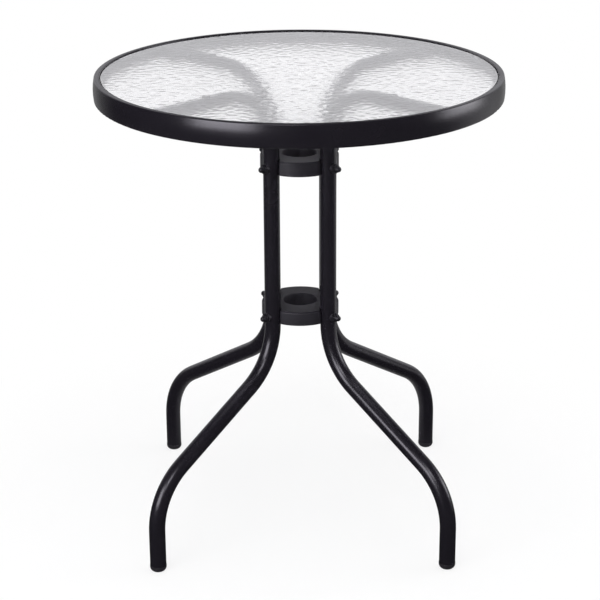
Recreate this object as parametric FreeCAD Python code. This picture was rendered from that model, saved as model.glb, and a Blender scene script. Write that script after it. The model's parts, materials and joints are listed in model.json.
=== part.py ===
import FreeCAD, Part
import math
import os
from FreeCAD import Vector

# Round patio table with a rippled glass top. Four bent tube legs run from the feet up
# through two moulded hubs, spread into arms under the glass and carry a rolled rim.
# Millimetres. +Z is up, the origin is on the floor under the middle of the top,
# and the front of the table faces -Y.

# Rim, a ring rolled from formed tube
top_diameter = 600.0
table_height = 700.0
rim_width = 10.0
rim_depth = 34.0
rim_wall = 1.2
rim_corner = 3.0
rim_edge = 1.6
rim_crown_radius = 90.0
rim_crown_drop = 19.0
vent_diameter = 4.0

# Glass and the pads it rests on
glass_thickness = 5.0
glass_drop = 1.6
glass_side_gap = 0.9
glass_arris = 0.8
pad_thickness = 0.9
pad_radius = 5.5
pad_reach = 185.0

# Leg tubes
tube_diameter = 24.0
tube_wall = 1.2
column_reach = 59.0
foot_reach = 302.0
leg_lean = 60.0
leg_bend_radius = 103.0
arm_bend_radius = 90.0
bend_below_hub = 2.0
arm_end_gap = 0.3

# Foot caps pushed into the lower tube ends
cap_height = 10.0
cap_lip = 0.3
cap_flat_radius = 5.0
cap_stem_length = 16.0
cap_stem_gap = 0.35
cap_ring_gap = 0.05
cap_ring_height = 2.2
cap_ring_count = 3
cap_core_radius = 6.5
cap_core_depth = 13.0

# Hubs, two equal mouldings with a nest for each leg
lower_hub_base = 325.0
hub_below_arm_bend = 11.5
hub_height = 22.0
hub_setback = 0.5
hub_lobe_corner = 3.6
hub_step = 1.5
hub_step_height = 1.7
hub_edge_round = 1.5
hub_wall = 3.0
hub_deck = 3.4
hub_rib = 2.4
hub_rib_angle = 21.0
hub_rib_rise = 2.0
nest_gap = 0.15
bore_radius = 26.0
bore_lead = 1.0

# Bolts that pull each leg into its nest
bolt_diameter = 6.0
bolt_hole_gap = 0.3
bolt_head_flats = 10.0
bolt_head_height = 4.0
bolt_slot_gap = 0.15
boss_depth = 10.0
boss_side = 2.6
saddle_radius = 7.4
saddle_thickness = 1.8
nut_flats = 12.0
nut_hex_height = 3.4
nut_crown = 0.8
nut_height = 10.8
nut_cone_radius = 5.9
nut_tip_radius = 4.3
nut_thread_gap = 0.05
nut_thread_depth = 8.0
bolt_in_nut = 6.0

# Brackets on the inside of the rim that hold the arm ends
bracket_length = 36.0
bracket_thickness = 2.0
bracket_side_gap = 0.3
bracket_bend = 1.2
bracket_ear = 12.0
bracket_ear_slope = 7.0
screw_inset = 19.0
screw_head_radius = 5.25
screw_head_height = 3.3
screw_socket_flats = 4.0
screw_socket_depth = 2.0
screw_length = 12.0
washer_radius = 6.0
washer_thickness = 1.2
arm_nut_flats = 10.0
arm_nut_height = 5.0

# Places worked out from the sizes above
rim_outer = top_diameter / 2
rim_inner = rim_outer - rim_width
rim_base = table_height - rim_depth
tube_radius = tube_diameter / 2
tube_bore = tube_radius - tube_wall
glass_radius = rim_inner - glass_side_gap
glass_top_z = table_height - glass_drop
glass_base_z = glass_top_z - glass_thickness
arm_top_z = glass_base_z - pad_thickness
arm_z = arm_top_z - tube_radius
arm_base_z = arm_z - tube_radius
upper_hub_base = arm_z - arm_bend_radius - hub_below_arm_bend - hub_height
column_face = column_reach + tube_radius
nest_radius = tube_radius + nest_gap
hub_radius = column_reach - hub_setback
bolt_radius = bolt_diameter / 2
bolt_hole_radius = bolt_radius + bolt_hole_gap
bolt_seat = column_reach - tube_radius - boss_depth
saddle_face = column_face + saddle_thickness
screw_reach = rim_inner - screw_inset
bracket_base_z = arm_base_z - bracket_thickness

UP = Vector(0, 0, 1)
OUTWARD = Vector(1, 0, 0)
CENTRE = Vector(0, 0, 0)
SPARE = 5.0
LEG_TURNS = {"rear_right": 45.0, "rear_left": 135.0, "front_left": 225.0, "front_right": 315.0}
HUB_BASES = {"lower": lower_hub_base, "upper": upper_hub_base}


def turned(shape, degrees):
    """A copy of the shape turned about the table's axis."""
    copy = shape.copy()
    copy.rotate(CENTRE, UP, degrees)
    return copy


def on_each_leg(shape):
    """One separate solid for each leg, as a group."""
    return Part.makeCompound([turned(shape, turn) for turn in LEG_TURNS.values()])


def cylinder(radius, length, start, direction=UP):
    return Part.makeCylinder(radius, length, start, direction)


def block(low, high):
    return Part.makeBox(high.x - low.x, high.y - low.y, high.z - low.z, low)


def hexagon(flats, length, start, direction):
    """A six-sided bar with the given distance over its flats."""
    corner = flats / math.sqrt(3)
    points = [Vector(corner * math.cos(math.radians(60 * i)),
                     corner * math.sin(math.radians(60 * i)), 0) for i in range(6)]
    face = Part.Face(Part.makePolygon(points + points[:1]))
    bar = face.extrude(Vector(0, 0, length))
    bar.Placement = FreeCAD.Placement(start, FreeCAD.Rotation(UP, direction))
    return bar


def crown_corner(crown, radius, level):
    """Centre of a corner round at one level that runs into the crowned wall, and the
    angle at which the two meet."""
    lean = math.asin((level - crown.z) / (rim_crown_radius - radius))
    reach = crown.x + (rim_crown_radius - radius) * math.cos(lean)
    return Vector(reach, 0, level), lean


def rim_outline(inset):
    """Section of the rim in the XZ plane, drawn in by an inset: a flat band on top, a
    slightly crowned outer wall and a straight inner one."""
    crown = Vector(rim_outer - rim_crown_radius, 0, table_height - rim_crown_drop)
    foot, foot_lean = crown_corner(crown, rim_corner, rim_base + rim_corner)
    edge, edge_lean = crown_corner(crown, rim_edge, table_height - rim_edge)
    right = math.radians(90)
    rounds = [(foot, rim_corner, -right, foot_lean),
              (crown, rim_crown_radius, foot_lean, edge_lean),
              (edge, rim_edge, edge_lean, right),
              (Vector(rim_inner + rim_edge, 0, edge.z), rim_edge, right, 2 * right),
              (Vector(rim_inner + rim_corner, 0, foot.z), rim_corner, 2 * right, 3 * right)]
    arcs = []
    for centre, radius, first, last in rounds:
        arcs.append([centre + Vector(math.cos(angle), 0, math.sin(angle)) * (radius - inset)
                     for angle in (first, (first + last) / 2, last)])
    edges = []
    for i, points in enumerate(arcs):
        edges.append(Part.Arc(*points).toShape())
        following = arcs[(i + 1) % len(arcs)][0]
        if (following - points[2]).Length > rim_wall / 100:
            edges.append(Part.makeLine(points[2], following))
    return Part.Wire(edges)


def rim_body(inset):
    """The rim's section swept round the table, drawn in by an inset."""
    return Part.Face(rim_outline(inset)).revolve(CENTRE, UP, 360)


def rim_annulus(radius):
    """Everything outside a radius at the level of the rim, for trimming arm ends."""
    low = rim_base - SPARE
    length = rim_depth + 2 * SPARE
    disc = cylinder(rim_outer + SPARE, length, Vector(0, 0, low))
    return disc.cut(cylinder(radius, length, Vector(0, 0, low)))


def rim_ring():
    """Formed tube rolled into a ring, with vent holes in its lower wall."""
    ring = rim_body(0).cut(rim_body(rim_wall))
    middle = Vector((rim_inner + rim_outer) / 2, 0, rim_base - rim_wall)
    vent = cylinder(vent_diameter / 2, 3 * rim_wall, middle)
    for turn in (0, 90, 180, 270):
        ring = ring.cut(turned(vent, turn))
    return ring


def rim_bracket():
    """Channel welded to the rim, open at the top so that an arm lies in it."""
    half = tube_radius + bracket_side_gap + bracket_thickness
    top = arm_base_z + bracket_ear
    start = rim_inner - bracket_length
    length = bracket_length + rim_width / 2
    outer = block(Vector(start, -half, bracket_base_z), Vector(start + length, half, top))
    inner_half = half - bracket_thickness
    trough = block(Vector(start - SPARE, -inner_half, arm_base_z),
                   Vector(start + length + SPARE, inner_half, top + SPARE))
    outer = outer.makeFillet(bracket_bend + bracket_thickness, long_edges(outer, bracket_base_z))
    trough = trough.makeFillet(bracket_bend, long_edges(trough, arm_base_z))
    channel = outer.cut(trough)
    slope = Part.Face(Part.makePolygon([
        Vector(start, -half - SPARE, top), Vector(start + bracket_ear_slope, -half - SPARE, top),
        Vector(start, -half - SPARE, top - bracket_ear_slope), Vector(start, -half - SPARE, top)]))
    channel = channel.cut(slope.extrude(Vector(0, 2 * (half + SPARE), 0)))
    hole = cylinder(bolt_hole_radius, 2 * bracket_thickness,
                    Vector(screw_reach, 0, bracket_base_z - bracket_thickness / 2))
    return channel.cut(hole).cut(rim_body(0))


def long_edges(shape, level):
    """Edges of a block that run outward at one height."""
    found = []
    for edge in shape.Edges:
        ends = [vertex.Point for vertex in edge.Vertexes]
        level_run = all(abs(point.z - level) < 1e-6 for point in ends)
        if level_run and abs(ends[0].y - ends[1].y) < 1e-6:
            found.append(edge)
    return found


def glass_top():
    """Toughened disc with ground edges, lying inside the rim."""
    glass = cylinder(glass_radius, glass_thickness, Vector(0, 0, glass_base_z))
    rings = [edge for edge in glass.Edges if isinstance(edge.Curve, Part.Circle)]
    return glass.makeChamfer(glass_arris, rings)


def glass_pad():
    """Soft pad between an arm and the glass, hollowed to sit on the tube."""
    drop = tube_radius - math.sqrt(tube_radius ** 2 - pad_radius ** 2)
    pad = cylinder(pad_radius, pad_thickness + drop, Vector(pad_reach, 0, arm_top_z - drop))
    tube = cylinder(tube_radius, 4 * pad_radius, Vector(pad_reach - 2 * pad_radius, 0, arm_z), OUTWARD)
    return pad.cut(tube)


def leg_path():
    """Centre line of a leg in the XZ plane, from the foot to the arm's end."""
    lean = math.radians(leg_lean)
    sine = math.sin(lean)
    cosine = math.cos(lean)
    bend_top = lower_hub_base - bend_below_hub
    slope = (foot_reach - column_reach - 2 * leg_bend_radius * (1 - cosine)) / sine
    knee_z = bend_top - 2 * leg_bend_radius * sine - slope * cosine
    half = lean / 2
    foot = Vector(foot_reach, 0, cap_height)
    knee_start = Vector(foot_reach, 0, knee_z)
    knee_middle = Vector(foot_reach - leg_bend_radius * (1 - math.cos(half)), 0,
                         knee_z + leg_bend_radius * math.sin(half))
    knee_end = Vector(foot_reach - leg_bend_radius * (1 - cosine), 0, knee_z + leg_bend_radius * sine)
    bend_start = knee_end + Vector(-slope * sine, 0, slope * cosine)
    bend_middle = Vector(column_reach + leg_bend_radius * (1 - math.cos(half)), 0,
                         bend_top - leg_bend_radius * math.sin(half))
    bend_end = Vector(column_reach, 0, bend_top)
    arm_start = Vector(column_reach, 0, arm_z - arm_bend_radius)
    arm_middle = arm_start + Vector(1 - math.sqrt(0.5), 0, math.sqrt(0.5)) * arm_bend_radius
    arm_level = arm_start + Vector(arm_bend_radius, 0, arm_bend_radius)
    arm_end = Vector(rim_inner + rim_width / 2, 0, arm_z)
    return Part.Wire([
        Part.makeLine(foot, knee_start),
        Part.Arc(knee_start, knee_middle, knee_end).toShape(),
        Part.makeLine(knee_end, bend_start),
        Part.Arc(bend_start, bend_middle, bend_end).toShape(),
        Part.makeLine(bend_end, arm_start),
        Part.Arc(arm_start, arm_middle, arm_level).toShape(),
        Part.makeLine(arm_level, arm_end)])


def bar_along(path, radius):
    ring = Part.Wire(Part.makeCircle(radius, Vector(foot_reach, 0, cap_height), UP))
    return path.makePipeShell([ring], True, True)


def leg_tube():
    """One bent tube with its bolt holes, trimmed to the curve of the rim."""
    path = leg_path()
    leg = bar_along(path, tube_radius).cut(bar_along(path, tube_bore))
    for base in HUB_BASES.values():
        start = Vector(column_reach - tube_diameter, 0, base + hub_height / 2)
        leg = leg.cut(cylinder(bolt_hole_radius, 2 * tube_diameter, start, OUTWARD))
    start = Vector(screw_reach, 0, arm_base_z - tube_wall)
    leg = leg.cut(cylinder(bolt_hole_radius, tube_radius, start))
    return leg.cut(rim_annulus(rim_inner - arm_end_gap))


def foot_cap():
    """Moulded cap with a domed foot and a ringed, hollow stem inside the tube."""
    outer = tube_radius + cap_lip
    stem = tube_bore - cap_stem_gap
    ring = tube_bore - cap_ring_gap
    run = outer - cap_flat_radius
    rise = cap_height * 0.75
    bulge = Vector(cap_flat_radius + run * math.sqrt(0.5), 0, rise * (1 - math.sqrt(0.5)))
    shoulder = Vector(outer, 0, rise)
    dome = Part.Arc(Vector(cap_flat_radius, 0, 0), bulge, shoulder).toShape()
    outline = [shoulder, Vector(outer, 0, cap_height), Vector(stem, 0, cap_height)]
    pitch = (cap_stem_length - cap_ring_height) / cap_ring_count
    for i in range(cap_ring_count):
        low = cap_height + pitch * i + cap_ring_height / 2
        outline += [Vector(stem, 0, low), Vector(ring, 0, low),
                    Vector(ring, 0, low + cap_ring_height / 2), Vector(stem, 0, low + cap_ring_height)]
    top = cap_height + cap_stem_length
    core = top - cap_core_depth
    outline += [Vector(stem, 0, top), Vector(cap_core_radius, 0, top),
                Vector(cap_core_radius, 0, core), Vector(0, 0, core), CENTRE,
                Vector(cap_flat_radius, 0, 0)]
    edges = [dome] + [Part.makeLine(a, b) for a, b in zip(outline, outline[1:])]
    cap = Part.Face(Part.Wire(edges)).revolve(CENTRE, UP, 360)
    cap.translate(Vector(foot_reach, 0, 0))
    return cap


def hub_outline(inset, level):
    """Plan of a hub as a closed face: four lobes with a round nest between each two."""
    disc = hub_radius - inset
    nest = nest_radius + inset
    corner = max(hub_lobe_corner - inset, hub_rib / 4)
    to_corner = disc - corner
    reach = nest + corner
    turn = math.acos((to_corner ** 2 + column_reach ** 2 - reach ** 2)
                     / (2 * to_corner * column_reach))
    quarter = []
    for nest_at in LEG_TURNS.values():
        axis = math.radians(nest_at)
        middle = Vector(column_reach * math.cos(axis), column_reach * math.sin(axis), level)
        centres = [Vector(to_corner * math.cos(axis + side * turn),
                          to_corner * math.sin(axis + side * turn), level) for side in (-1, 1)]
        touch = [middle + (centre - middle).normalize() * nest for centre in centres]
        edge = [Vector(centre.x, centre.y, 0).normalize() * disc + Vector(0, 0, level)
                for centre in centres]
        bottom = Vector(middle.x, middle.y, 0).normalize() * (column_reach - nest)
        quarter.append((centres, touch, edge, bottom + Vector(0, 0, level)))
    edges = []
    for i, (centres, touch, edge, bottom) in enumerate(quarter):
        edges.append(short_arc(edge[0], centres[0], touch[0]))
        edges.append(Part.Arc(touch[0], bottom, touch[1]).toShape())
        edges.append(short_arc(touch[1], centres[1], edge[1]))
        following = quarter[(i + 1) % 4][2][0]
        middle = (edge[1] + following) * 0.5
        crown = Vector(middle.x, middle.y, 0).normalize() * disc + Vector(0, 0, level)
        edges.append(Part.Arc(edge[1], crown, following).toShape())
    return Part.Face(Part.Wire(edges))


def short_arc(start, centre, end):
    """Arc about a centre from start to end, the short way round."""
    radius = (start - centre).Length
    middle = centre + ((start - centre) + (end - centre)).normalize() * radius
    return Part.Arc(start, middle, end).toShape()


def hub(base):
    """Moulding with a pole bore, leg nests, a stepped deck and ribs underneath."""
    top = base + hub_height
    shoulder = top - hub_step_height
    body = hub_outline(0, base).extrude(Vector(0, 0, shoulder - base))
    rim_edges = [edge for edge in body.Edges
                 if all(abs(v.Point.z - shoulder) < 1e-6 for v in edge.Vertexes)]
    foot_edges = [edge for edge in body.Edges
                  if all(abs(v.Point.z - base) < 1e-6 for v in edge.Vertexes)]
    body = body.makeFillet(hub_edge_round, rim_edges + foot_edges)
    body = body.fuse(hub_outline(hub_step, shoulder).extrude(Vector(0, 0, hub_step_height)))
    body = body.cut(hub_hollow(base))
    body = body.cut(cylinder(bore_radius, hub_height + 2 * SPARE, Vector(0, 0, base - SPARE)))
    for level, wide, narrow in ((base, bore_radius + bore_lead, bore_radius),
                                (top - bore_lead, bore_radius, bore_radius + bore_lead)):
        body = body.cut(Part.makeCone(wide, narrow, bore_lead, Vector(0, 0, level)))
    for turn in LEG_TURNS.values():
        body = body.cut(turned(bolt_slot(base), turn))
    return body.removeSplitter()


def hub_hollow(base):
    """Space under the deck, less the bore sleeve, the ribs and the bolt bosses."""
    depth = hub_height - hub_deck
    hollow = hub_outline(hub_wall, base).extrude(Vector(0, 0, depth))
    hollow = hollow.cut(cylinder(bore_radius + hub_wall, depth, Vector(0, 0, base)))
    rib = block(Vector(0, -hub_rib / 2, base + hub_rib_rise), Vector(hub_radius, hub_rib / 2, base + depth))
    for lobe in (0, 90, 180, 270):
        for offset in (-hub_rib_angle, 0, hub_rib_angle):
            hollow = hollow.cut(turned(rib, lobe + offset))
    half = bolt_head_flats / 2 + bolt_slot_gap + boss_side
    boss = block(Vector(0, -half, base), Vector(hub_radius, half, base + depth))
    for turn in LEG_TURNS.values():
        hollow = hollow.cut(turned(boss, turn))
    return hollow


def bolt_slot(base):
    """Slot open at the underside that lets a bolt in and holds its head from turning."""
    axis_z = base + hub_height / 2
    low = base - SPARE
    half = bolt_head_flats / 2 + bolt_slot_gap
    head_top = axis_z + bolt_head_flats / math.sqrt(3) + bolt_slot_gap
    head_start = bolt_seat - bolt_head_height - bolt_slot_gap
    head = block(Vector(head_start, -half, low), Vector(bolt_seat, half, head_top))
    shank = block(Vector(bolt_seat, -bolt_hole_radius, low),
                  Vector(column_reach, bolt_hole_radius, axis_z))
    crown = cylinder(bolt_hole_radius, column_reach - bolt_seat, Vector(bolt_seat, 0, axis_z), OUTWARD)
    return head.fuse(shank).fuse(crown)


def hub_bolt(base):
    """Hex bolt from its seat in the hub out to the inside of the cap nut."""
    axis_z = base + hub_height / 2
    head = hexagon(bolt_head_flats, bolt_head_height,
                   Vector(bolt_seat - bolt_head_height, 0, axis_z), OUTWARD)
    length = saddle_face + bolt_in_nut - bolt_seat
    shank = cylinder(bolt_radius, length, Vector(bolt_seat, 0, axis_z), OUTWARD)
    return head.fuse(shank).removeSplitter()


def saddle_washer(base):
    """Round washer hollowed on one side so that it sits on the tube."""
    axis_z = base + hub_height / 2
    start = Vector(column_reach + tube_radius / 2, 0, axis_z)
    washer = cylinder(saddle_radius, saddle_face - start.x, start, OUTWARD)
    rim = [edge for edge in washer.Edges
           if isinstance(edge.Curve, Part.Circle) and abs(edge.CenterOfMass.x - saddle_face) < 1e-6]
    washer = washer.makeFillet(saddle_thickness / 3, rim)
    column = cylinder(tube_radius, hub_height, Vector(column_reach, 0, base))
    hole = cylinder(bolt_hole_radius, saddle_face, Vector(column_reach, 0, axis_z), OUTWARD)
    return washer.cut(column).cut(hole)


def cap_nut(base):
    """Nut over the bolt's end: a low hexagon that runs into a cone with a round tip."""
    axis_z = base + hub_height / 2
    start = Vector(saddle_face, 0, axis_z)
    hexagonal = hexagon(nut_flats, nut_hex_height, start, OUTWARD)
    corner = nut_flats / math.sqrt(3)
    crown = Part.makeCone(corner + nut_hex_height - nut_crown, corner - nut_crown,
                          nut_hex_height, start, OUTWARD)
    hexagonal = hexagonal.common(crown)
    nut = hexagonal.fuse(nut_dome(start))
    thread = cylinder(bolt_radius + nut_thread_gap, nut_thread_depth, start, OUTWARD)
    return nut.cut(thread).removeSplitter()


def nut_dome(start):
    """Cone that meets its round tip tangentially, turned about the bolt's axis."""
    tip = nut_height - nut_tip_radius
    to_tip = math.hypot(nut_cone_radius, tip)
    taper = math.atan2(nut_cone_radius, tip) - math.asin(nut_tip_radius / to_tip)
    half = (math.pi / 2 - taper) / 2 + taper
    centre = start + OUTWARD * tip
    meet, middle = [centre + Vector(math.sin(angle), 0, math.cos(angle)) * nut_tip_radius
                    for angle in (taper, half)]
    base = start + UP * nut_cone_radius
    end = start + OUTWARD * nut_height
    outline = Part.Wire([Part.makeLine(start, base), Part.makeLine(base, meet),
                         Part.Arc(meet, middle, end).toShape(), Part.makeLine(end, start)])
    return Part.Face(outline).revolve(start, OUTWARD, 360)


def arm_screw():
    """Button-head screw that comes up through the bracket into the arm."""
    seat = bracket_base_z - washer_thickness
    base = seat - screw_head_height
    crown = Vector(screw_head_radius * 0.72, 0, seat - screw_head_height * 0.78)
    dome = Part.Arc(Vector(screw_socket_flats * 0.7, 0, base), crown,
                    Vector(screw_head_radius, 0, seat)).toShape()
    outline = [Vector(screw_head_radius, 0, seat), Vector(0, 0, seat), Vector(0, 0, base),
               Vector(screw_socket_flats * 0.7, 0, base)]
    edges = [dome] + [Part.makeLine(a, b) for a, b in zip(outline, outline[1:])]
    head = Part.Face(Part.Wire(edges)).revolve(CENTRE, UP, 360)
    head = head.cut(hexagon(screw_socket_flats, screw_socket_depth, Vector(0, 0, base), UP))
    screw = head.fuse(cylinder(bolt_radius, screw_length, Vector(0, 0, seat))).removeSplitter()
    screw.translate(Vector(screw_reach, 0, 0))
    return screw


def arm_washer():
    start = Vector(screw_reach, 0, bracket_base_z - washer_thickness)
    washer = cylinder(washer_radius, washer_thickness, start)
    return washer.cut(cylinder(bolt_hole_radius, washer_thickness, start))


def arm_nut():
    """Weld nut on the inside of the arm, resting on the tube's round floor."""
    corner = arm_nut_flats / math.sqrt(3)
    floor = arm_z - math.sqrt(tube_bore ** 2 - (arm_nut_flats / 2) ** 2)
    start = Vector(screw_reach, 0, floor)
    nut = hexagon(arm_nut_flats, arm_nut_height, start, UP)
    hole = cylinder(bolt_radius + nut_thread_gap, arm_nut_height, start)
    bore = cylinder(tube_bore, 4 * corner, Vector(screw_reach - 2 * corner, 0, arm_z), OUTWARD)
    return nut.common(bore).cut(hole)


def build():
    """Every piece by its node name."""
    nodes = {"rim_ring": rim_ring(), "glass_top": glass_top()}
    singles = {"leg_tube": leg_tube(), "foot_cap": foot_cap(), "rim_bracket": rim_bracket(),
               "glass_pad": glass_pad()}
    for name, shape in singles.items():
        for corner, turn in LEG_TURNS.items():
            nodes[f"{name}_{corner}"] = turned(shape, turn)
    for level, base in HUB_BASES.items():
        nodes[f"hub_{level}"] = hub(base)
        nodes[f"hub_bolts_{level}"] = on_each_leg(hub_bolt(base))
        nodes[f"saddle_washers_{level}"] = on_each_leg(saddle_washer(base))
        nodes[f"cap_nuts_{level}"] = on_each_leg(cap_nut(base))
    nodes["arm_screws"] = on_each_leg(arm_screw())
    nodes["arm_washers"] = on_each_leg(arm_washer())
    nodes["arm_nuts"] = on_each_leg(arm_nut())
    return nodes


os.makedirs("parts", exist_ok=True)
for node, shape in build().items():
    shape.exportStep(f"parts/{node}.step")
    print(node, len(shape.Solids), "solid", round(shape.Volume), "mm3", shape.isValid())
path_length = leg_path().Length
tube_section = math.pi * (tube_radius ** 2 - tube_bore ** 2)
print("leg centre line", round(path_length, 1), "section times length", round(path_length * tube_section))
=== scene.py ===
import json
import math

import bpy
from mathutils import Matrix, Vector, noise


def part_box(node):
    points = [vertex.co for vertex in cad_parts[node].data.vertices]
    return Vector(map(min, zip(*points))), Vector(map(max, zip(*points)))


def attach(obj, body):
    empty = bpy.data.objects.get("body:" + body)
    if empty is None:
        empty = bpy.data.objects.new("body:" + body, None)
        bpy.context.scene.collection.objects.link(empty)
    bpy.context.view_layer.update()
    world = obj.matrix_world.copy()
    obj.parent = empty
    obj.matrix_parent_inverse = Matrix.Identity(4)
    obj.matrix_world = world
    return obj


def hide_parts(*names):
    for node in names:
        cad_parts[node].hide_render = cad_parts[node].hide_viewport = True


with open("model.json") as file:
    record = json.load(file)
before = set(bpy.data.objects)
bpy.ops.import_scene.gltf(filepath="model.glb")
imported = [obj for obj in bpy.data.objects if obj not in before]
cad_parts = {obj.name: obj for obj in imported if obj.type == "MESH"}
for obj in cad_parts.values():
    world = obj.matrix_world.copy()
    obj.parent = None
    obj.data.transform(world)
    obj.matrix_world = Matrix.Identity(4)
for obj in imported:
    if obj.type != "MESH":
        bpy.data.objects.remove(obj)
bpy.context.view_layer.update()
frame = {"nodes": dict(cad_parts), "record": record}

# Finishes, rippled pane, camera and studio for the round patio table.
# Sizes in metres, angles in degrees, lamp power in watts.

# Camera, solved from the photograph
IMAGE_PIXELS = 600.0
FOCAL_PIXELS = 1815.8
SENSOR = 36.0
CAMERA_PLACE = (-0.0218, -2.5973, 1.3076)
CAMERA_PITCH = 20.328
CAMERA_ROLL = -0.300
CAMERA_YAW = 0.474

# Pane
GLASS_ARRIS = 0.0008
GLASS_GRID = 0.0018
RIPPLE_CELL = 0.0085
RIPPLE_FINE_CELL = 0.0046
RIPPLE_FINE_SHARE = 0.25
RIPPLE_DEPTH = 0.0006
RIPPLE_MARGIN = 0.004

# Glass finish
GLASS_COLOUR = (0.98, 0.98, 0.985, 1.0)
GLASS_IOR = 1.5
GLASS_FACE_ROUGH = 0.0
GLASS_UNDERSIDE_ROUGH = 0.15

# Coat and plastic finish
COAT_TINT = (0.93, 0.90, 1.0, 1.0)
COAT_PATCH_SCALE = 9.0
COAT_PATCH_RANGE = (0.3, 0.7)
COAT_ROUGH_SPREAD = 0.03
PLASTIC_FLOW_SCALE = 26.0
PLASTIC_FLOW_RANGE = (0.25, 0.75)
PLASTIC_ROUGH_SPREAD = 0.05
FLOW_STRETCH = (0.35, 1.0, 1.0)

# Zinc finish
ZINC_DARK = (0.50, 0.51, 0.54)
ZINC_LIGHT = (0.68, 0.69, 0.70)
ZINC_ROUGH = (0.28, 0.42)
CRYSTAL_SCALE = 900.0
CRYSTAL_RANGE = (0.0, 0.8)
CRYSTAL_HEIGHT = 0.00001

# World. A range tells where along a direction's X, Y or Z one strength runs into the next.
SHEEN_COLOUR = (0.97, 0.965, 1.0)
CAMERA_COLOUR = (1.0, 1.0, 1.0)
FILL_STRENGTH = 0.4
ROOM_GLOSS = 0.03
WALL_GLOSS = 1.1
WALL_RANGE = (0.35, 0.85)
WALL_IN_GLASS = 1.18
WALL_THROUGH_GLASS = 1.66
LOW_GLOSS = 1.0
HIGH_GLOSS = 0.8
HEIGHT_RANGE = (0.24, 0.45)
GAP_GLOSS = 0.15
BAND_GLOSS = 0.70
GAP_RANGE = (0.05, 0.10)

# Floor. BEHIND and the two RIGHT ranges are shares of a point's reach from the middle,
# the others are the reach itself.
FLOOR_SIZE = 30.0
FLOOR_ALBEDO = 0.8
FRONT_GLOSS = 0.02
BEHIND_GLOSS = 0.4
BEHIND_RANGE = (0.45, 1.0)
RIGHT_GLOSS = 0.5
RIGHT_SIDE_RANGE = (0.6, 0.9)
RIGHT_BACK_RANGE = (-0.2, 0.3)
NEAR_GLOSS = 0.06
NEAR_RANGE = (1.2, 2.4)
UNDER_TABLE_RANGE = (0.6, 1.2)
# Seen through the glass, the floor glows dimmer close to the table: painted shade of the table,
# brightening farther off
PAINTED_SHADE_THROUGH_GLASS = 0.79
THROUGH_RANGE = (2.2, 4.5)
SHADOW_GLOW = 0.80
SHADOW_RANGE = (0.35, 0.75)

# Lamps, each with its place, target, width, height and power
TABLE_MIDDLE = (0.0, 0.0, 0.5)
ABOVE_TABLE = (0.0, 0.0, 0.9)
SIDE_LAMPS = {
    "key_light": ((-1.53, -1.85, 1.08), ABOVE_TABLE, 1.4, 1.1, 36.0),
    "high_light": ((-0.34, -2.42, 2.20), ABOVE_TABLE, 0.9, 1.0, 21.0),
    "side_light": ((2.39, 0.15, 1.05), ABOVE_TABLE, 1.3, 1.3, 26.0),
}
TOP_LAMP = ((0.0, -0.2, 3.2), TABLE_MIDDLE, 2.0, 2.0, 45.0)


def new_material(name):
    """A material with an empty node tree, the tree and its output node."""
    material = bpy.data.materials.new(name)
    material.use_nodes = True
    tree = material.node_tree
    tree.nodes.clear()
    return material, tree, tree.nodes.new("ShaderNodeOutputMaterial")


def add(tree, kind, **settings):
    """A node of one kind with its properties set."""
    node = tree.nodes.new(kind)
    for key, value in settings.items():
        setattr(node, key, value)
    return node


def feed(tree, value, socket):
    """Puts a number or another node's output into a socket."""
    if isinstance(value, (int, float)):
        socket.default_value = value
    else:
        tree.links.new(value, socket)


def math_node(tree, operation, *operands):
    """A Math node. An operand is a number or another node's output."""
    node = add(tree, "ShaderNodeMath", operation=operation)
    for i, value in enumerate(operands):
        feed(tree, value, node.inputs[i])
    return node.outputs[0]


def mix_values(tree, factor, first, second):
    """A blend of two values, each a number or another node's output."""
    node = add(tree, "ShaderNodeMix", data_type="FLOAT")
    tree.links.new(factor, node.inputs["Factor"])
    feed(tree, first, node.inputs["A"])
    feed(tree, second, node.inputs["B"])
    return node.outputs["Result"]


def map_range(tree, value, low, high, to_low, to_high):
    """A smooth run from one number to another over a range of the value."""
    node = add(tree, "ShaderNodeMapRange", interpolation_type="SMOOTHSTEP")
    tree.links.new(value, node.inputs["Value"])
    for key, number in (("From Min", low), ("From Max", high),
                        ("To Min", to_low), ("To Max", to_high)):
        node.inputs[key].default_value = number
    return node.outputs["Result"]


def noise_texture(tree, vector, scale, detail=2.0, roughness=0.5):
    node = add(tree, "ShaderNodeTexNoise")
    tree.links.new(vector, node.inputs["Vector"])
    node.inputs["Scale"].default_value = scale
    node.inputs["Detail"].default_value = detail
    node.inputs["Roughness"].default_value = roughness
    return node.outputs["Fac"]


def object_place(tree, stretch=(1.0, 1.0, 1.0)):
    """Coordinates of the surface in the table's frame, scaled along the axes."""
    place = add(tree, "ShaderNodeTexCoord")
    mapping = add(tree, "ShaderNodeMapping")
    mapping.inputs["Scale"].default_value = stretch
    tree.links.new(place.outputs["Object"], mapping.inputs["Vector"])
    return mapping.outputs["Vector"]


def separate(tree, vector):
    """The X, Y and Z outputs of a vector."""
    node = add(tree, "ShaderNodeSeparateXYZ")
    tree.links.new(vector, node.inputs["Vector"])
    return node.outputs


def colour_between(tree, factor, dark, light):
    node = add(tree, "ShaderNodeMix", data_type="RGBA")
    node.inputs["A"].default_value = (*dark, 1.0)
    node.inputs["B"].default_value = (*light, 1.0)
    tree.links.new(factor, node.inputs["Factor"])
    return node.outputs["Result"]


def bump(tree, height, distance, normal=None):
    node = add(tree, "ShaderNodeBump")
    node.inputs["Strength"].default_value = 1.0
    node.inputs["Distance"].default_value = distance
    tree.links.new(height, node.inputs["Height"])
    if normal is not None:
        tree.links.new(normal, node.inputs["Normal"])
    return node.outputs["Normal"]


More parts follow.
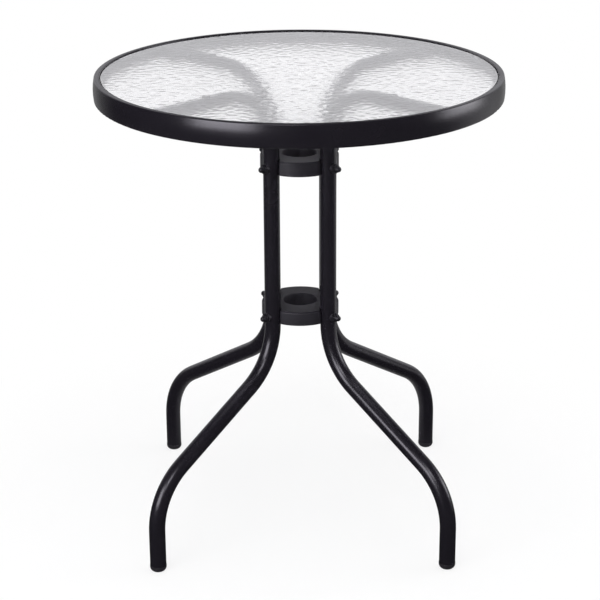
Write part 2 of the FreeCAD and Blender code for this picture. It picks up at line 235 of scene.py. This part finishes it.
def coated_steel(name, dark, light, rough, grain_scale, grain_height, peel_scale, peel_height):
    """Black coat: fine grain over a soft orange peel, a little uneven in gloss."""
    material, tree, output = new_material(name)
    place = object_place(tree)
    shader = add(tree, "ShaderNodeBsdfPrincipled")
    patches = noise_texture(tree, place, COAT_PATCH_SCALE, detail=3.0)
    grain = noise_texture(tree, place, grain_scale, roughness=0.6)
    peel = noise_texture(tree, place, peel_scale)
    tree.links.new(colour_between(tree, patches, dark, light), shader.inputs["Base Color"])
    uneven = map_range(tree, patches, *COAT_PATCH_RANGE,
                       rough - COAT_ROUGH_SPREAD, rough + COAT_ROUGH_SPREAD)
    tree.links.new(uneven, shader.inputs["Roughness"])
    shader.inputs["Specular Tint"].default_value = COAT_TINT
    waves = bump(tree, peel, peel_height)
    tree.links.new(bump(tree, grain, grain_height, waves), shader.inputs["Normal"])
    tree.links.new(shader.outputs["BSDF"], output.inputs["Surface"])
    return material


def moulded_plastic(name, dark, light, rough, gloss, grain_scale, grain_height,
                    stretch=(1.0, 1.0, 1.0)):
    """Moulded plastic with a fine texture from the tool and faint flow patches."""
    material, tree, output = new_material(name)
    place = object_place(tree, stretch)
    shader = add(tree, "ShaderNodeBsdfPrincipled")
    flow = noise_texture(tree, place, PLASTIC_FLOW_SCALE, detail=4.0)
    grain = noise_texture(tree, place, grain_scale, detail=3.0, roughness=0.65)
    tree.links.new(colour_between(tree, flow, dark, light), shader.inputs["Base Color"])
    uneven = map_range(tree, flow, *PLASTIC_FLOW_RANGE,
                       rough - PLASTIC_ROUGH_SPREAD, rough + PLASTIC_ROUGH_SPREAD)
    tree.links.new(uneven, shader.inputs["Roughness"])
    shader.inputs["Specular IOR Level"].default_value = gloss
    shader.inputs["Specular Tint"].default_value = COAT_TINT
    tree.links.new(bump(tree, grain, grain_height), shader.inputs["Normal"])
    tree.links.new(shader.outputs["BSDF"], output.inputs["Surface"])
    return material


def zinc_steel():
    """Zinc plate with its fine crystals and a bluish sheen."""
    material, tree, output = new_material("zinc_steel")
    place = object_place(tree)
    shader = add(tree, "ShaderNodeBsdfPrincipled")
    shader.inputs["Metallic"].default_value = 1.0
    crystals = add(tree, "ShaderNodeTexVoronoi")
    crystals.inputs["Scale"].default_value = CRYSTAL_SCALE
    tree.links.new(place, crystals.inputs["Vector"])
    depth = crystals.outputs["Distance"]
    tree.links.new(colour_between(tree, depth, ZINC_DARK, ZINC_LIGHT), shader.inputs["Base Color"])
    rough = map_range(tree, depth, *CRYSTAL_RANGE, *ZINC_ROUGH)
    tree.links.new(rough, shader.inputs["Roughness"])
    tree.links.new(bump(tree, depth, CRYSTAL_HEIGHT), shader.inputs["Normal"])
    tree.links.new(shader.outputs["BSDF"], output.inputs["Surface"])
    return material


def clear_glass():
    """Clear glass, polished on top and with a fine tooth from the roller underneath."""
    material, tree, output = new_material("ripple_glass")
    shader = add(tree, "ShaderNodeBsdfPrincipled")
    shader.inputs["Base Color"].default_value = GLASS_COLOUR
    shader.inputs["Transmission Weight"].default_value = 1.0
    shader.inputs["IOR"].default_value = GLASS_IOR
    low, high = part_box("glass_top")
    height = separate(tree, object_place(tree))["Z"]
    rough = map_range(tree, height, low.z, (low.z + high.z) / 2,
                      GLASS_UNDERSIDE_ROUGH, GLASS_FACE_ROUGH)
    tree.links.new(rough, shader.inputs["Roughness"])
    tree.links.new(shader.outputs["BSDF"], output.inputs["Surface"])
    return material


def disc_place(a, b):
    """A point of the square from -1 to 1 moved to the unit disc, with even spacing."""
    if a == 0 and b == 0:
        return 0.0, 0.0
    if abs(a) > abs(b):
        radius, turn = a, math.pi / 4 * b / a
    else:
        radius, turn = b, math.pi / 2 - math.pi / 4 * a / b
    return radius * math.cos(turn), radius * math.sin(turn)


def ripple(x, y):
    """Height of the rolled pattern over the lowest plane of the glass, from 0 to its depth."""
    coarse = noise.noise(Vector((x, y, 0.0)) / RIPPLE_CELL)
    fine = noise.noise(Vector((x, y, RIPPLE_CELL)) / RIPPLE_FINE_CELL)
    swell = coarse + RIPPLE_FINE_SHARE * fine
    return RIPPLE_DEPTH * min(max(0.5 + 0.5 * swell, 0.0), 1.0)


def rippled_grid(inner, level, count):
    """Points and faces of the rippled underside, a square grid bent into a disc. The
    ripples fade out towards its edge."""
    points = []
    for i in range(count + 1):
        for j in range(count + 1):
            x, y = disc_place(2 * i / count - 1, 2 * j / count - 1)
            x, y = x * inner, y * inner
            fade = min((inner - math.hypot(x, y)) / RIPPLE_MARGIN, 1.0)
            points.append((x, y, level + max(fade, 0.0) * ripple(x, y)))
    wide = count + 1
    faces = []
    for i in range(count):
        for j in range(count):
            corner = i * wide + j
            faces.append((corner, corner + 1, corner + wide + 1, corner + wide))
    return points, faces


def grid_border(count):
    """Indices of the grid's outer points, once round."""
    wide = count + 1
    first = list(range(count))
    second = [i * wide + count for i in range(count)]
    third = [count * wide + count - j for j in range(count)]
    fourth = [(count - i) * wide for i in range(count)]
    return first + second + third + fourth


def rippled_glass():
    """The pane: flat on top, ground edges, and a rolled pattern underneath."""
    low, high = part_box("glass_top")
    outer = (high.x - low.x) / 2
    inner = outer - GLASS_ARRIS
    count = 2 * round(math.pi * inner / (4 * GLASS_GRID))
    points, faces = rippled_grid(inner, low.z, count)
    rippled = len(faces)
    rings = [grid_border(count)]
    for radius, z in ((outer, low.z + GLASS_ARRIS), (outer, high.z - GLASS_ARRIS), (inner, high.z)):
        ring = []
        for index in rings[0]:
            x, y, _ = points[index]
            ring.append(len(points))
            points.append((x / inner * radius, y / inner * radius, z))
        rings.append(ring)
    for lower, upper in zip(rings, rings[1:]):
        for k, start in enumerate(lower):
            after = (k + 1) % len(lower)
            faces.append((start, upper[k], upper[after], lower[after]))
    faces.append(tuple(reversed(rings[-1])))
    mesh = bpy.data.meshes.new("rippled_glass")
    mesh.from_pydata(points, [], faces)
    mesh.validate()
    smooth = [True] * rippled + [False] * (len(faces) - rippled)
    mesh.polygons.foreach_set("use_smooth", smooth)
    piece = bpy.data.objects.new("rippled_glass", mesh)
    bpy.context.scene.collection.objects.link(piece)
    return piece


def dress_nodes(materials):
    """Each CAD node gets the material of its slot."""
    slots = {part["node"]: part["material_slot"] for part in frame["record"]["subparts"]}
    for name, node in frame["nodes"].items():
        node.data.materials.clear()
        node.data.materials.append(materials[slots[name]])


def place_camera():
    data = bpy.data.cameras.new("camera")
    data.sensor_width = SENSOR
    data.lens = SENSOR * FOCAL_PIXELS / IMAGE_PIXELS
    camera = bpy.data.objects.new("camera", data)
    turn = (Matrix.Rotation(math.radians(-CAMERA_YAW), 4, "Z")
            @ Matrix.Rotation(math.radians(90 - CAMERA_PITCH), 4, "X")
            @ Matrix.Rotation(math.radians(CAMERA_ROLL), 4, "Z"))
    camera.matrix_world = Matrix.Translation(CAMERA_PLACE) @ turn
    bpy.context.scene.collection.objects.link(camera)
    bpy.context.scene.camera = camera


def softbox(name, place, target, width, height, power, mirrored=True):
    """A rectangular lamp that faces a point. It may be hidden from gloss and from what
    is seen through the glass."""
    data = bpy.data.lights.new(name, "AREA")
    data.shape = "RECTANGLE"
    data.size = width
    data.size_y = height
    data.energy = power
    lamp = bpy.data.objects.new(name, data)
    lamp.location = place
    lamp.visible_glossy = mirrored
    lamp.visible_transmission = mirrored
    lamp.rotation_euler = (Vector(target) - Vector(place)).to_track_quat("-Z", "Y").to_euler()
    bpy.context.scene.collection.objects.link(lamp)
    return lamp


def keep_out_of_glass(lamps, glass):
    """The pane mirrors the room and none of these lamps, so no side shows their shape."""
    unlit = bpy.data.collections.new("unlit_by_lamps")
    unlit.objects.link(glass)
    unlit.collection_objects[0].light_linking.link_state = "EXCLUDE"
    for lamp in lamps:
        lamp.light_linking.receiver_collection = unlit


def mirrored_room(tree, path):
    """Strength of the room for gloss: a bright wall behind the table, dimmer high up and
    straight behind it, that fades to a dark room in front. The glass's polished face
    mirrors the wall all round."""
    direction = separate(tree, add(tree, "ShaderNodeTexCoord").outputs["Generated"])
    polished = path.outputs["Is Singular Ray"]
    wall = map_range(tree, direction["Y"], *WALL_RANGE, ROOM_GLOSS, WALL_GLOSS)
    wall = mix_values(tree, polished, wall, WALL_IN_GLASS)
    height = map_range(tree, direction["Z"], *HEIGHT_RANGE, LOW_GLOSS, HIGH_GLOSS)
    wall = math_node(tree, "MULTIPLY", wall, height)
    across = math_node(tree, "ABSOLUTE", direction["X"])
    gap = map_range(tree, across, *GAP_RANGE, GAP_GLOSS, BAND_GLOSS)
    gap = mix_values(tree, polished, gap, 1.0)
    return math_node(tree, "MULTIPLY", wall, gap)


def straight_through(tree, path):
    """One for what is seen through the glass, none for its mirror image in the paint."""
    first = math_node(tree, "SUBTRACT", path.outputs["Is Transmission Ray"],
                      path.outputs["Glossy Depth"])
    return math_node(tree, "GREATER_THAN", first, 0.5)


def studio_world():
    """White for the camera, a dim fill for surfaces and the mirrored room for gloss. Seen
    through the glass it is a bright wall, twice as bright where it lights what lies below."""
    world = bpy.data.worlds.new("studio")
    world.use_nodes = True
    bpy.context.scene.world = world
    tree = world.node_tree
    tree.nodes.clear()
    output = add(tree, "ShaderNodeOutputWorld")
    background = add(tree, "ShaderNodeBackground")
    path = add(tree, "ShaderNodeLightPath")
    strength = mix_values(tree, path.outputs["Is Glossy Ray"], FILL_STRENGTH,
                          mirrored_room(tree, path))
    scattered = math_node(tree, "MINIMUM", path.outputs["Diffuse Depth"], 1.0)
    share = math_node(tree, "ADD", scattered, 1.0)
    bright = math_node(tree, "MULTIPLY", share, WALL_THROUGH_GLASS)
    strength = mix_values(tree, straight_through(tree, path), strength, bright)
    camera_ray = path.outputs["Is Camera Ray"]
    tree.links.new(mix_values(tree, camera_ray, strength, 1.0), background.inputs["Strength"])
    tree.links.new(colour_between(tree, camera_ray, SHEEN_COLOUR, CAMERA_COLOUR),
                   background.inputs["Color"])
    tree.links.new(background.outputs["Background"], output.inputs["Surface"])


def floor_gloss(tree, place, reach):
    """Strength of the floor for gloss: dark in front, bright behind the table and on its
    right, and a faint ring close by. The right side and the ring are dark under the table."""
    facing = math_node(tree, "DIVIDE", place["Y"], reach)
    aside = math_node(tree, "DIVIDE", place["X"], reach)
    behind = map_range(tree, facing, *BEHIND_RANGE, FRONT_GLOSS, BEHIND_GLOSS)
    right = math_node(tree, "MULTIPLY",
                      map_range(tree, aside, *RIGHT_SIDE_RANGE, 0.0, RIGHT_GLOSS),
                      map_range(tree, facing, *RIGHT_BACK_RANGE, 0.0, 1.0))
    near = map_range(tree, reach, *NEAR_RANGE, NEAR_GLOSS, 0.0)
    clear = map_range(tree, reach, *UNDER_TABLE_RANGE, 0.0, 1.0)
    lit = math_node(tree, "MULTIPLY", math_node(tree, "ADD", right, near), clear)
    return math_node(tree, "ADD", behind, lit)


def floor_material():
    """Pale floor that reads white away from the table and keeps a soft shadow under it."""
    material, tree, output = new_material("floor")
    diffuse = add(tree, "ShaderNodeBsdfDiffuse")
    diffuse.inputs["Color"].default_value = (FLOOR_ALBEDO, FLOOR_ALBEDO, FLOOR_ALBEDO, 1.0)
    glow = add(tree, "ShaderNodeEmission")
    path = add(tree, "ShaderNodeLightPath").outputs
    position = add(tree, "ShaderNodeNewGeometry").outputs["Position"]
    distance = add(tree, "ShaderNodeVectorMath", operation="LENGTH")
    tree.links.new(position, distance.inputs[0])
    reach = distance.outputs["Value"]
    gloss = floor_gloss(tree, separate(tree, position), reach)
    # Painted shade: through the glass the floor's glow is lowered close to the table and rises to
    # the bright wall level far off
    glow_with_painted_shade = map_range(tree, reach, *THROUGH_RANGE, PAINTED_SHADE_THROUGH_GLASS, WALL_THROUGH_GLASS)
    strength = mix_values(tree, path["Is Transmission Ray"], gloss, glow_with_painted_shade)
    tree.links.new(mix_values(tree, path["Is Camera Ray"], strength, 1.0), glow.inputs["Strength"])
    seen = math_node(tree, "MAXIMUM", path["Is Camera Ray"], path["Is Transmission Ray"])
    share = map_range(tree, reach, *SHADOW_RANGE, SHADOW_GLOW, 1.0)
    share = math_node(tree, "MULTIPLY", share, seen)
    share = math_node(tree, "MAXIMUM", share, path["Is Glossy Ray"])
    mix = add(tree, "ShaderNodeMixShader")
    tree.links.new(share, mix.inputs["Fac"])
    tree.links.new(diffuse.outputs["BSDF"], mix.inputs[1])
    tree.links.new(glow.outputs["Emission"], mix.inputs[2])
    tree.links.new(mix.outputs["Shader"], output.inputs["Surface"])
    return material


def studio_floor():
    half = FLOOR_SIZE / 2
    mesh = bpy.data.meshes.new("floor")
    mesh.from_pydata([(-half, -half, 0), (half, -half, 0), (half, half, 0), (-half, half, 0)],
                     [], [(0, 1, 2, 3)])
    mesh.materials.append(floor_material())
    floor = bpy.data.objects.new("floor", mesh)
    bpy.context.scene.collection.objects.link(floor)


materials = {
    "frame_paint": coated_steel(
        "frame_paint", dark=(0.0068, 0.006, 0.0088), light=(0.0105, 0.009, 0.0125), rough=0.25,
        grain_scale=1300.0, grain_height=0.00003, peel_scale=160.0, peel_height=0.000015),
    "fixing_black": coated_steel(
        "fixing_black", dark=(0.007, 0.0065, 0.0085), light=(0.011, 0.010, 0.013), rough=0.42,
        grain_scale=1500.0, grain_height=0.00002, peel_scale=400.0, peel_height=0.00003),
    "hub_plastic": moulded_plastic(
        "hub_plastic", dark=(0.010, 0.009, 0.0125), light=(0.016, 0.0145, 0.0195), rough=0.50,
        gloss=0.62, grain_scale=1500.0, grain_height=0.00006, stretch=FLOW_STRETCH),
    "fixing_plastic": moulded_plastic(
        "fixing_plastic", dark=(0.012, 0.011, 0.014), light=(0.018, 0.016, 0.020), rough=0.36,
        gloss=0.5, grain_scale=1800.0, grain_height=0.00003),
    "foot_plastic": moulded_plastic(
        "foot_plastic", dark=(0.013, 0.012, 0.014), light=(0.019, 0.017, 0.021), rough=0.46,
        gloss=0.4, grain_scale=1600.0, grain_height=0.00004),
    "pad_rubber": moulded_plastic(
        "pad_rubber", dark=(0.014, 0.014, 0.015), light=(0.024, 0.023, 0.025), rough=0.70,
        gloss=0.4, grain_scale=1100.0, grain_height=0.00008),
    "zinc_steel": zinc_steel(),
    "ripple_glass": clear_glass(),
}
dress_nodes(materials)

glass = rippled_glass()
glass.data.materials.append(materials["ripple_glass"])
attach(glass, "glass")
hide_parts("glass_top")

place_camera()
studio_world()
studio_floor()
lamps = [softbox(name, *values) for name, values in SIDE_LAMPS.items()]
keep_out_of_glass(lamps, glass)
softbox("top_light", *TOP_LAMP, mirrored=False)

scene = bpy.context.scene
scene.view_settings.view_transform = "Standard"
